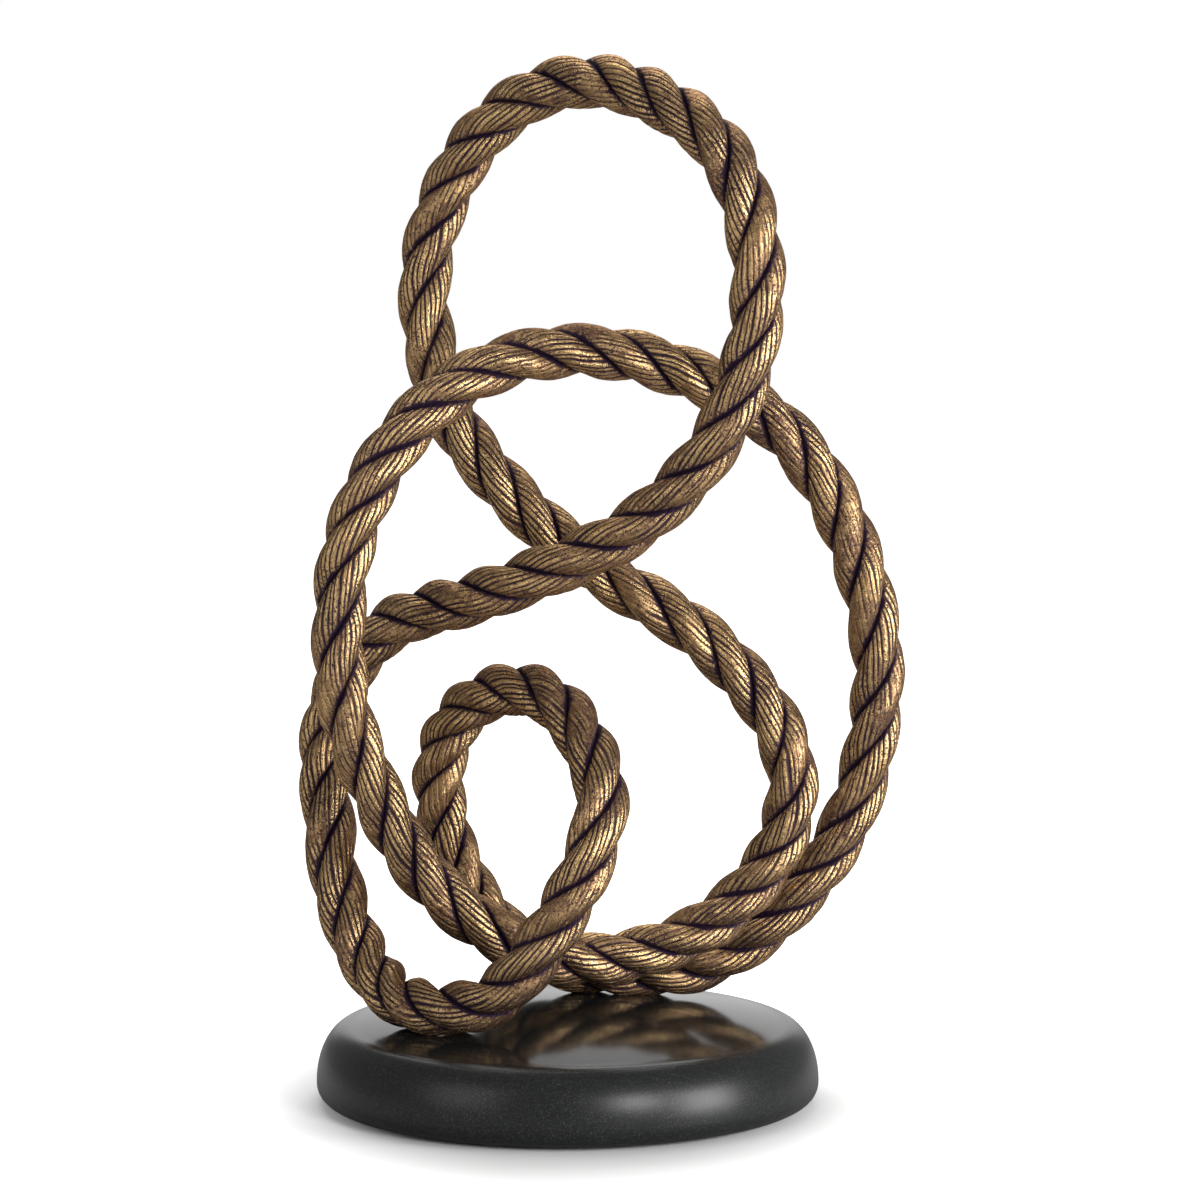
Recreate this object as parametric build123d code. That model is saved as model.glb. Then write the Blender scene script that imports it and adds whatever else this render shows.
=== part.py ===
from build123d import *

import math
import os

import numpy as np

# A knot sculpture: one endless length of three-strand rope, cast in brass and bent into
# four loops, standing at two places on a round disc of polished black stone.
# All lengths are in millimetres. +Z is up, +X is to the right, +Y is away from the viewer.
# The origin is the centre of the underside, on the face that rests on a table.

# Rope
rope_diameter = 25.4
strands = 3
strand_radius_share = 0.30
strands_all_round = 93
seat_grind = 1.7

# Sweep of the rope's centre line
knot_width = 260.0
knot_height = 420.0
slices_per_strand = 6

# Stone disc
base_diameter = 230.0
stone_thickness = 34.5
crown_height = 7.0
top_edge_width = 15.0
top_edge_height = 25.5
bottom_edge_round = 8.0

# Felt under the disc
felt_thickness = 1.5
felt_margin = 5.0

# Bolts from below into the rope's two seats
bolt_diameter = 8.0
bolt_length = 45.0
bolt_head_width = 13.0
bolt_head_height = 5.3
bolt_head_chamfer = 0.8
bolt_hole_fit = 0.75
thread_fit = 0.05
bolt_tip_room = 1.5
washer_diameter = 24.0
washer_thickness = 2.0
washer_bore_fit = 0.2
counterbore_depth = 10.0
counterbore_fit = 2.0

# Steel pins inside the rope, across each joint between two castings
pin_diameter = 8.0
pin_length = 24.0
pin_chamfer = 0.6
pin_fit = 0.05
pin_end_room = 0.5

# Every cut runs past the solid by this much
overrun = 3.0

# The rope's centre line, as the castings in travel order round the closed knot. Each casting
# starts at its first point and ends where the next one starts. Across counts in knot widths
# from the disc's axis, deep in rope diameters away from the viewer, and up in knot heights
# above a rope that rests on the rim of the polished top. Where up is nought, the rope stands
# on the domed top itself. Laid counts the strands that have gone by on the rope's far side.
ROUTE_SHARES = (
    ("top_loop_right", (
        (0.055, 0.60, 0.995, 0.55),
        (0.170, -0.45, 0.970, 2.20),
        (0.265, -1.30, 0.920, 3.70),
        (0.310, -1.60, 0.855, 4.90),
        (0.325, -1.70, 0.785, 5.95),
    )),
    ("long_arm", (
        (0.310, -1.55, 0.700, 7.25),
        (0.260, -1.35, 0.620, 8.50),
        (0.180, -0.95, 0.555, 9.70),
        (0.080, -0.55, 0.505, 10.90),
        (-0.050, 0.00, 0.465, 12.25),
        (-0.190, 0.80, 0.430, 13.85),
        (-0.315, 1.55, 0.400, 15.50),
    )),
    ("left_shoulder", (
        (-0.400, 2.00, 0.340, 17.05),
        (-0.435, 1.90, 0.275, 18.20),
        (-0.430, 1.45, 0.200, 19.40),
    )),
    ("front_foot_bend", (
        (-0.410, 0.65, 0.125, 20.50),
        (-0.360, -0.15, 0.050, 21.90),
        (-0.300, -0.95, 0.015, 23.10),
        (-0.215, -1.75, 0.000, 24.25),
        (-0.130, -2.25, 0.025, 25.25),
    )),
    ("small_loop_front", (
        (-0.045, -2.65, 0.085, 26.60),
        (0.035, -2.70, 0.175, 28.30),
        (0.060, -2.30, 0.240, 29.35),
        (0.035, -1.45, 0.290, 30.50),
        (-0.025, -0.40, 0.330, 31.80),
    )),
    ("small_loop_back", (
        (-0.115, 0.55, 0.335, 33.20),
        (-0.195, 1.10, 0.300, 34.65),
        (-0.230, 1.40, 0.240, 36.05),
        (-0.215, 1.60, 0.160, 37.55),
        (-0.150, 1.65, 0.080, 39.15),
    )),
    ("rear_foot_bend", (
        (-0.060, 1.70, 0.030, 40.40),
        (0.040, 1.70, 0.015, 41.40),
        (0.130, 1.70, 0.000, 42.25),
        (0.210, 1.70, 0.015, 43.00),
        (0.280, 1.70, 0.030, 43.70),
        (0.400, 1.60, 0.090, 45.10),
    )),
    ("outer_loop_right", (
        (0.495, 1.55, 0.175, 46.65),
        (0.540, 1.40, 0.270, 48.00),
        (0.550, 1.20, 0.360, 49.35),
        (0.525, 1.00, 0.450, 50.60),
        (0.460, 0.85, 0.550, 52.25),
        (0.355, 0.60, 0.630, 53.75),
    )),
    ("outer_loop_top", (
        (0.230, 0.45, 0.675, 55.15),
        (0.105, 0.30, 0.700, 56.45),
        (-0.020, 0.05, 0.705, 57.70),
        (-0.145, -0.30, 0.685, 58.95),
        (-0.250, -0.60, 0.640, 60.20),
    )),
    ("outer_loop_left", (
        (-0.330, -0.85, 0.575, 61.45),
        (-0.380, -0.95, 0.495, 62.80),
        (-0.395, -0.90, 0.405, 64.10),
        (-0.385, -0.80, 0.325, 65.25),
        (-0.340, -0.55, 0.240, 66.55),
        (-0.270, -0.30, 0.155, 68.00),
        (-0.160, -0.05, 0.085, 69.50),
    )),
    ("inner_loop_base", (
        (-0.035, 0.25, 0.045, 70.85),
        (0.100, 0.60, 0.040, 72.30),
        (0.240, 0.80, 0.070, 73.90),
        (0.345, 0.90, 0.130, 75.40),
        (0.395, 0.90, 0.205, 76.85),
    )),
    ("inner_arm", (
        (0.380, 0.95, 0.280, 78.00),
        (0.310, 1.05, 0.345, 79.30),
        (0.215, 1.20, 0.400, 80.55),
        (0.095, 1.45, 0.445, 81.85),
        (-0.020, 1.75, 0.495, 83.15),
        (-0.120, 1.90, 0.555, 84.45),
        (-0.200, 2.10, 0.620, 85.70),
    )),
    ("top_loop_left", (
        (-0.245, 2.30, 0.700, 87.00),
        (-0.255, 2.45, 0.790, 88.30),
        (-0.220, 2.30, 0.870, 89.55),
        (-0.150, 1.90, 0.940, 90.95),
        (-0.050, 1.35, 0.985, 92.30),
    )),
)

rope_radius = rope_diameter / 2
strand_radius = rope_diameter * strand_radius_share
strand_offset = rope_radius - strand_radius
strand_half_angle = math.pi / strands
groove_radius = strand_offset * math.cos(strand_half_angle) + math.sqrt(
    strand_radius ** 2 - (strand_offset * math.sin(strand_half_angle)) ** 2
)
stone_top = felt_thickness + stone_thickness
polished_radius = base_diameter / 2 - top_edge_width
dome_radius = (polished_radius ** 2 + crown_height ** 2) / (2 * crown_height)
centre_over_seat = rope_radius - seat_grind


def top_height(from_axis):
    """Height of the stone's domed top, at a distance from the disc's axis."""
    drop = dome_radius - math.sqrt(dome_radius ** 2 - from_axis ** 2)
    return stone_top + crown_height - drop


def route_points():
    """Points of the rope's centre line, with the strands laid by then, back to the first."""
    points = []
    for _, rows in ROUTE_SHARES:
        for across, deep, up, laid in rows:
            x = across * knot_width
            y = deep * rope_diameter
            seat = stone_top + up * knot_height if up else top_height(math.hypot(x, y))
            points.append((x, y, seat + centre_over_seat, laid))
    x, y, z, laid = points[0]
    points.append((x, y, z, laid + strands_all_round))
    return np.array(points)


def closed_curve(points):
    """Knots, by distance, and slopes of the smooth curve that closes on itself."""
    steps = np.diff(points, axis=0)
    spans = np.linalg.norm(steps[:, :3], axis=1)
    rates = steps / spans[:, None]
    count = len(steps)
    matrix = np.zeros((count, count))
    wanted = np.zeros(steps.shape)
    for place in range(count):
        before = spans[place - 1]
        after = spans[place]
        matrix[place, place - 1] = after
        matrix[place, place] = 2 * (before + after)
        matrix[place, (place + 1) % count] = before
        wanted[place] = 3 * (after * rates[place - 1] + before * rates[place])
    knots = np.concatenate([[0.0], np.cumsum(spans)])
    slopes = np.linalg.solve(matrix, wanted)
    return knots, np.vstack([slopes, slopes[0]])


def standing_places():
    """Numbers of the points where the rope stands on the stone."""
    heights = [up for _, rows in ROUTE_SHARES for _, _, up, _ in rows]
    return [place for place, up in enumerate(heights) if up == 0]


POINTS = route_points()
KNOTS, SLOPES = closed_curve(POINTS)
FEET = standing_places()


def route_at(distance):
    """Centre and direction of the rope, and strands laid, at a distance along the knots."""
    place = int(np.searchsorted(KNOTS[1:-1], distance, side="right"))
    span = KNOTS[place + 1] - KNOTS[place]
    part = (distance - KNOTS[place]) / span
    at = (
        (2 * part ** 3 - 3 * part ** 2 + 1) * POINTS[place]
        + (part ** 3 - 2 * part ** 2 + part) * span * SLOPES[place]
        + (3 * part ** 2 - 2 * part ** 3) * POINTS[place + 1]
        + (part ** 3 - part ** 2) * span * SLOPES[place + 1]
    )
    slope = (
        (6 * part ** 2 - 6 * part) * (POINTS[place] - POINTS[place + 1]) / span
        + (3 * part ** 2 - 4 * part + 1) * SLOPES[place]
        + (3 * part ** 2 - 2 * part) * SLOPES[place + 1]
    )
    return at[:3], slope[:3] / np.linalg.norm(slope[:3]), at[3]


def rope_plane(distance):
    """Plane square to the rope, with its X axis leaning away from the viewer."""
    centre, direction, _ = route_at(distance)
    away = np.array([0.0, 1.0, 0.0])
    away = away - away.dot(direction) * direction
    return Plane(origin=tuple(centre), x_dir=tuple(away), z_dir=tuple(direction))


def around(radius, angle):
    """A point of the rope's cross-section, by radius and angle."""
    return (radius * math.cos(angle), radius * math.sin(angle))


def rope_section(distance):
    """Closed outline of the three strands, turned by the rope's lay."""
    plane = rope_plane(distance)
    _, _, laid = route_at(distance)
    edges = []
    for strand in range(strands):
        middle = 2 * strand_half_angle * (laid + strand)
        start = plane.from_local_coords(around(groove_radius, middle - strand_half_angle))
        crown = plane.from_local_coords(around(rope_radius, middle))
        end = plane.from_local_coords(around(groove_radius, middle + strand_half_angle))
        edges.append(ThreePointArc(start, crown, end))
    return Wire(edges)


def pin_bore(distance, inward):
    """Blind bore for half a pin, from a casting's end face inwards."""
    plane = rope_plane(distance)
    depth = pin_length / 2 + pin_end_room
    bore = Cylinder(pin_diameter / 2 + pin_fit, depth + overrun)
    middle = inward * (depth - overrun) / 2
    return plane * (Pos(0, 0, middle) * bore)


def casting(first, last):
    """One cast length of rope from joint to joint, bored for its pins and ground at its foot."""
    strands_laid = POINTS[last][3] - POINTS[first][3]
    count = round(strands_laid * slices_per_strand)
    sections = []
    for distance in np.linspace(KNOTS[first], KNOTS[last], count + 1):
        sections.append(rope_section(distance))
    body = Solid.make_loft(sections)
    body = body - pin_bore(KNOTS[first], 1) - pin_bore(KNOTS[last], -1)
    for place in FEET:
        if first < place < last:
            body = body - stone_blank() - foot_bore(place)
    return body


def foot_bore(place):
    """Threaded bore, from the seat up into the rope."""
    x, y = POINTS[place][:2]
    top = bolt_seat_height() + bolt_length + bolt_tip_room
    bottom = stone_top - overrun
    bore = Cylinder(bolt_diameter / 2 + thread_fit, top - bottom)
    return Pos(x, y, (top + bottom) / 2) * bore


def counterbore_top():
    """Height of the shoulder that the washers bear on."""
    return felt_thickness + counterbore_depth


def bolt_seat_height():
    """Height of the face under the bolt's head."""
    return counterbore_top() - washer_thickness


def stone_profile():
    """Half section of the stone disc, from its axis out to the rounded edge."""
    radius = base_diameter / 2
    underside = felt_thickness
    flat_bottom = radius - bottom_edge_round
    lower_wall = underside + bottom_edge_round
    upper_wall = stone_top - top_edge_height
    with BuildSketch(Plane.XZ) as sketch:
        with BuildLine():
            Line((0, underside), (flat_bottom, underside))
            RadiusArc((flat_bottom, underside), (radius, lower_wall), -bottom_edge_round)
            Line((radius, lower_wall), (radius, upper_wall))
            EllipticalCenterArc(
                (polished_radius, upper_wall), top_edge_width, top_edge_height, arc_size=90
            )
            ThreePointArc(
                (polished_radius, stone_top),
                (polished_radius / 2, top_height(polished_radius / 2)),
                (0, top_height(0)),
            )
            Line((0, top_height(0)), (0, underside))
        make_face()
    return sketch.sketch


def stone_blank():
    """Stone disc before it is drilled, also what the rope's seats are ground to."""
    return revolve(stone_profile(), Axis.Z)


def stone_base():
    """Stone disc with a bolt hole and a counterbore under each foot of the rope."""
    stone = stone_blank()
    through = top_height(0) - felt_thickness
    for place in FEET:
        x, y = POINTS[place][:2]
        hole = Cylinder(bolt_diameter / 2 + bolt_hole_fit, through + 2 * overrun)
        stone = stone - Pos(x, y, felt_thickness + through / 2) * hole
        wide = Cylinder(washer_diameter / 2 + counterbore_fit, counterbore_depth + overrun)
        stone = stone - Pos(x, y, counterbore_top() - (counterbore_depth + overrun) / 2) * wide
    return stone


def felt_pad():
    """Round felt glued under the stone, over the two counterbores."""
    radius = base_diameter / 2 - bottom_edge_round - felt_margin
    return Pos(0, 0, felt_thickness / 2) * Cylinder(radius, felt_thickness)


def foot_bolt(place):
    """Hexagon-head bolt, head down in the counterbore."""
    x, y = POINTS[place][:2]
    seat = bolt_seat_height()
    shank = Cylinder(bolt_diameter / 2, bolt_length)
    hexagon = RegularPolygon(bolt_head_width / 2, 6, major_radius=False)
    head = extrude(hexagon, bolt_head_height)
    head = chamfer(head.faces().sort_by(Axis.Z)[0].edges(), bolt_head_chamfer)
    return Pos(x, y, seat + bolt_length / 2) * shank + Pos(x, y, seat - bolt_head_height) * head


def foot_washer(place):
    """Flat washer between the bolt's head and the stone."""
    x, y = POINTS[place][:2]
    ring = Cylinder(washer_diameter / 2, washer_thickness)
    ring = ring - Cylinder(bolt_diameter / 2 + washer_bore_fit, washer_thickness + 2 * overrun)
    return Pos(x, y, counterbore_top() - washer_thickness / 2) * ring


def joint_pin(distance):
    """Steel pin, half in each of the two castings that meet here."""
    pin = Cylinder(pin_diameter / 2, pin_length)
    rims = pin.edges().filter_by(GeomType.CIRCLE)
    return rope_plane(distance) * chamfer(rims, pin_chamfer)


def group(solids):
    """Like pieces that share one node."""
    return Compound(children=solids)


def write(name, shape):
    """Save one node's solids under its name."""
    export_step(shape, "parts/" + name + ".step")


os.makedirs("parts", exist_ok=True)

joints = np.cumsum([0] + [len(rows) for _, rows in ROUTE_SHARES])
for (name, _), first, last in zip(ROUTE_SHARES, joints[:-1], joints[1:]):
    write(name, casting(first, last))
write("joint_pins", group([joint_pin(KNOTS[place]) for place in joints[:-1]]))
write("stone_base", stone_base())
write("felt_pad", felt_pad())
write("foot_bolts", group([foot_bolt(place) for place in FEET]))
write("foot_washers", group([foot_washer(place) for place in FEET]))
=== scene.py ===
import math

import bpy
import numpy as np
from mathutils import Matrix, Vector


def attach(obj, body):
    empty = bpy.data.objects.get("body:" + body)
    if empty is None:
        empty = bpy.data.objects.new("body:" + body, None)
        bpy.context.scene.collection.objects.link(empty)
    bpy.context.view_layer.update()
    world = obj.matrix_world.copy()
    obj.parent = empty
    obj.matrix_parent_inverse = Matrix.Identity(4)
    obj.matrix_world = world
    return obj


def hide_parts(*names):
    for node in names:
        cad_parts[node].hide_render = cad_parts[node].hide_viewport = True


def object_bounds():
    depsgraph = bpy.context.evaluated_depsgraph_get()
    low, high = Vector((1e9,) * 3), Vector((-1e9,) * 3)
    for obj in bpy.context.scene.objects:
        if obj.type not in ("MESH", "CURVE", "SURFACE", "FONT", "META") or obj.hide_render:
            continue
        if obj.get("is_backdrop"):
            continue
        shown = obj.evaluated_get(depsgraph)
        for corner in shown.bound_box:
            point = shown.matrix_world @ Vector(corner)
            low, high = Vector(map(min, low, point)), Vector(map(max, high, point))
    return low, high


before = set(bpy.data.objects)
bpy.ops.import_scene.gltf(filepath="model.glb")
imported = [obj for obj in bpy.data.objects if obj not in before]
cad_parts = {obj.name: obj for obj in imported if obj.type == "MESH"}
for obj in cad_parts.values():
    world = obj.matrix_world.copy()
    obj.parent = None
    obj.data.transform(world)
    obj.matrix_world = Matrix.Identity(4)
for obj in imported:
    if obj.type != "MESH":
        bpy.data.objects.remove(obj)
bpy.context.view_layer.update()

bl_info = {
    "name": "Knot sculpture",
    "version": (1, 0, 0),
    "blender": (4, 5, 0),
    "location": "3D View > Sidebar > Knot sculpture",
    "description": "Dresses the packed knot sculpture: cast rope, stone disc, felt and steel",
    "category": "Add Mesh",
}

# The rope's centre line, as the castings in travel order round the closed knot. Across
# counts in knot widths, deep in rope diameters away from the viewer, up in knot heights
# above a rope that rests on the rim of the polished top, and laid in strands that have
# gone by. Where up is nought, the rope stands on the domed top.
ROUTE_SHARES = (
    ("top_loop_right", (
        (0.055, 0.60, 0.995, 0.55),
        (0.170, -0.45, 0.970, 2.20),
        (0.265, -1.30, 0.920, 3.70),
        (0.310, -1.60, 0.855, 4.90),
        (0.325, -1.70, 0.785, 5.95),
    )),
    ("long_arm", (
        (0.310, -1.55, 0.700, 7.25),
        (0.260, -1.35, 0.620, 8.50),
        (0.180, -0.95, 0.555, 9.70),
        (0.080, -0.55, 0.505, 10.90),
        (-0.050, 0.00, 0.465, 12.25),
        (-0.190, 0.80, 0.430, 13.85),
        (-0.315, 1.55, 0.400, 15.50),
    )),
    ("left_shoulder", (
        (-0.400, 2.00, 0.340, 17.05),
        (-0.435, 1.90, 0.275, 18.20),
        (-0.430, 1.45, 0.200, 19.40),
    )),
    ("front_foot_bend", (
        (-0.410, 0.65, 0.125, 20.50),
        (-0.360, -0.15, 0.050, 21.90),
        (-0.300, -0.95, 0.015, 23.10),
        (-0.215, -1.75, 0.000, 24.25),
        (-0.130, -2.25, 0.025, 25.25),
    )),
    ("small_loop_front", (
        (-0.045, -2.65, 0.085, 26.60),
        (0.035, -2.70, 0.175, 28.30),
        (0.060, -2.30, 0.240, 29.35),
        (0.035, -1.45, 0.290, 30.50),
        (-0.025, -0.40, 0.330, 31.80),
    )),
    ("small_loop_back", (
        (-0.115, 0.55, 0.335, 33.20),
        (-0.195, 1.10, 0.300, 34.65),
        (-0.230, 1.40, 0.240, 36.05),
        (-0.215, 1.60, 0.160, 37.55),
        (-0.150, 1.65, 0.080, 39.15),
    )),
    ("rear_foot_bend", (
        (-0.060, 1.70, 0.030, 40.40),
        (0.040, 1.70, 0.015, 41.40),
        (0.130, 1.70, 0.000, 42.25),
        (0.210, 1.70, 0.015, 43.00),
        (0.280, 1.70, 0.030, 43.70),
        (0.400, 1.60, 0.090, 45.10),
    )),
    ("outer_loop_right", (
        (0.495, 1.55, 0.175, 46.65),
        (0.540, 1.40, 0.270, 48.00),
        (0.550, 1.20, 0.360, 49.35),
        (0.525, 1.00, 0.450, 50.60),
        (0.460, 0.85, 0.550, 52.25),
        (0.355, 0.60, 0.630, 53.75),
    )),
    ("outer_loop_top", (
        (0.230, 0.45, 0.675, 55.15),
        (0.105, 0.30, 0.700, 56.45),
        (-0.020, 0.05, 0.705, 57.70),
        (-0.145, -0.30, 0.685, 58.95),
        (-0.250, -0.60, 0.640, 60.20),
    )),
    ("outer_loop_left", (
        (-0.330, -0.85, 0.575, 61.45),
        (-0.380, -0.95, 0.495, 62.80),
        (-0.395, -0.90, 0.405, 64.10),
        (-0.385, -0.80, 0.325, 65.25),
        (-0.340, -0.55, 0.240, 66.55),
        (-0.270, -0.30, 0.155, 68.00),
        (-0.160, -0.05, 0.085, 69.50),
    )),
    ("inner_loop_base", (
        (-0.035, 0.25, 0.045, 70.85),
        (0.100, 0.60, 0.040, 72.30),
        (0.240, 0.80, 0.070, 73.90),
        (0.345, 0.90, 0.130, 75.40),
        (0.395, 0.90, 0.205, 76.85),
    )),
    ("inner_arm", (
        (0.380, 0.95, 0.280, 78.00),
        (0.310, 1.05, 0.345, 79.30),
        (0.215, 1.20, 0.400, 80.55),
        (0.095, 1.45, 0.445, 81.85),
        (-0.020, 1.75, 0.495, 83.15),
        (-0.120, 1.90, 0.555, 84.45),
        (-0.200, 2.10, 0.620, 85.70),
    )),
    ("top_loop_left", (
        (-0.245, 2.30, 0.700, 87.00),
        (-0.255, 2.45, 0.790, 88.30),
        (-0.220, 2.30, 0.870, 89.55),
        (-0.150, 1.90, 0.940, 90.95),
        (-0.050, 1.35, 0.985, 92.30),
    )),
)
STRANDS = 3
STRANDS_ALL_ROUND = 93
# What the brass reads off the rope: metres to the crevice, place across the yarns, boldness
# of the yarns' grooves, and strands laid
METAL_MASKS = ("gap", "yarn", "bold", "along")


def length(name, description, default):
    """A length setting, shown in the scene's units."""
    return bpy.props.FloatProperty(
        name=name, description=description, default=default, unit="LENGTH", subtype="DISTANCE"
    )


def tint(name, description, default):
    """A colour setting."""
    return bpy.props.FloatVectorProperty(
        name=name, description=description, default=default, size=3, subtype="COLOR", min=0, max=1
    )


class RopeSettings(bpy.types.PropertyGroup):
    """Sizes and colours of the cast rope."""

    diameter: length("Rope diameter", "Over the crowns of the strands", 0.0254)
    strand_radius_share: bpy.props.FloatProperty(
        name="Strand radius share", description="Of the rope's diameter", default=0.30
    )
    knot_width: length("Knot width", "Unit of the route's places across", 0.260)
    knot_height: length("Knot height", "Unit of the route's places up", 0.420)
    seat_grind: length("Seat grind", "What is ground off the rope where it stands", 0.0017)
    ring_step: length("Ring step", "Distance between two rings of the mesh", 0.0009)
    sides: bpy.props.IntProperty(
        name="Sides", description="Faces round the rope, a multiple of the strands", default=216
    )
    slit_depth: length("Slit depth", "Extra depth of the crevice between two strands", 0.0016)
    slit_width: length("Slit width", "Half width of that crevice", 0.0008)
    yarn_width: length("Yarn width", "Width of one yarn on a strand", 0.0026)
    yarn_depth: length("Yarn depth", "Depth of the grooves between yarns", 0.0011)
    yarns_per_strand: bpy.props.FloatProperty(
        name="Yarns per strand", description="Yarns that start in the space of one strand",
        default=9.7,
    )
    weld_width: length("Weld width", "Half width of the chased weld at a joint", 0.005)
    lump_height: length("Lump height", "Uneven swelling of the casting", 0.00035)
    # Also the colour of the painted highlight on the yarns' crests and of the painted glints
    bright: tint("Rubbed brass", "Colour of the high spots", (0.86, 0.585, 0.270))
    middle: tint("Brass", "Colour of most of the rope", (0.455, 0.281, 0.130))
    # Also laid beside the crevices as patina with painted shade
    dull: tint("Patina", "Colour of the dull places", (0.165, 0.086, 0.060))
    rust: tint("Rust tone", "Colour of the reddish grains", (0.30, 0.125, 0.070))
    # Also painted shade in the crevices, laid over their patina
    groove: tint("Groove", "Colour in the crevices", (0.022, 0.010, 0.028))
    rim: tint("Rim", "Tint of the gloss at grazing angles", (0.45, 0.34, 0.38))


class StoneSettings(bpy.types.PropertyGroup):
    """Sizes and colours of the stone disc."""

    diameter: length("Diameter", "Of the disc", 0.230)
    underside: length("Underside", "Height of the disc's lower face", 0.0015)
    rim: length("Rim", "Height of the polished top's rim", 0.036)
    crown_height: length("Crown", "Height of the top's middle over its rim", 0.007)
    top_edge_width: length("Top edge width", "Of the rounded upper edge", 0.015)
    top_edge_height: length("Top edge height", "Of the rounded upper edge", 0.0255)
    bottom_edge_round: length("Bottom edge round", "Radius of the lower edge", 0.008)
    facets: bpy.props.IntProperty(name="Facets", description="Round the disc", default=288)
    black: tint("Stone", "Ground colour", (0.010, 0.0105, 0.0105))
    fleck: tint("Fleck", "Colour of the pale flecks", (0.05, 0.056, 0.052))


class StageSettings(bpy.types.PropertyGroup):
    """Floor, lamps and camera."""

    floor_size: length("Floor", "Width of the floor", 12.0)
    camera_across: length("Camera across", "Right of the disc's axis", 0.0148)
    camera_distance: length("Camera distance", "In front of the disc's axis", 2.0)
    camera_height: length("Camera height", "Above the floor", 0.4248)
    camera_down: bpy.props.FloatProperty(
        name="Camera tilt", description="Downwards", default=math.radians(5.55), subtype="ANGLE"
    )
    lens: bpy.props.FloatProperty(name="Lens", description="Focal length in mm", default=132.7)
    ambient: bpy.props.FloatProperty(
        name="Ambient", description="Light from all round", default=0.25
    )
    gloss: bpy.props.FloatProperty(
        name="Gloss", description="Brightness that polished faces mirror, but for the back",
        default=0.25,
    )


def dome_radius(stone):
    """Radius of the stone's domed top."""
    rim = stone.diameter / 2 - stone.top_edge_width
    return (rim ** 2 + stone.crown_height ** 2) / (2 * stone.crown_height)


def top_height(stone, from_axis):
    """Height of the domed top, at a distance from the disc's axis."""
    radius = dome_radius(stone)
    return stone.rim + stone.crown_height - radius + math.sqrt(radius ** 2 - from_axis ** 2)


def smooth_route(settings, stone):
    """Knots, points and slopes of the rope's closed centre line, with the strands laid."""
    centre_over_seat = settings.diameter / 2 - settings.seat_grind
    points = []
    for _, rows in ROUTE_SHARES:
        for across, deep, up, laid in rows:
            x = across * settings.knot_width
            y = deep * settings.diameter
            seat = stone.rim + up * settings.knot_height
            if up == 0:
                seat = top_height(stone, math.hypot(x, y))
            points.append((x, y, seat + centre_over_seat, laid))
    x, y, z, laid = points[0]
    points.append((x, y, z, laid + STRANDS_ALL_ROUND))
    points = np.array(points)
    steps = np.diff(points, axis=0)
    spans = np.linalg.norm(steps[:, :3], axis=1)
    rates = steps / spans[:, None]
    count = len(steps)
    matrix = np.zeros((count, count))
    wanted = np.zeros(steps.shape)
    for place in range(count):
        before = spans[place - 1]
        after = spans[place]
        matrix[place, place - 1] = after
        matrix[place, place] = 2 * (before + after)
        matrix[place, (place + 1) % count] = before
        wanted[place] = 3 * (after * rates[place - 1] + before * rates[place])
    knots = np.concatenate([[0.0], np.cumsum(spans)])
    slopes = np.linalg.solve(matrix, wanted)
    return knots, points, np.vstack([slopes, slopes[0]])


def along_route(route, distances):
    """Centres, directions and strands laid at distances along the route."""
    knots, points, slopes = route
    place = np.searchsorted(knots[1:-1], distances, side="right")
    span = (knots[place + 1] - knots[place])[:, None]
    part = (distances - knots[place])[:, None] / span
    at = (
        (2 * part ** 3 - 3 * part ** 2 + 1) * points[place]
        + (part ** 3 - 2 * part ** 2 + part) * span * slopes[place]
        + (3 * part ** 2 - 2 * part ** 3) * points[place + 1]
        + (part ** 3 - part ** 2) * span * slopes[place + 1]
    )
    slope = (
        (6 * part ** 2 - 6 * part) * (points[place] - points[place + 1]) / span
        + (3 * part ** 2 - 4 * part + 1) * slopes[place]
        + (3 * part ** 2 - 2 * part) * slopes[place + 1]
    )
    directions = slope[:, :3] / np.linalg.norm(slope[:, :3], axis=1)[:, None]
    return at[:, :3], directions, at[:, 3]


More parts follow.
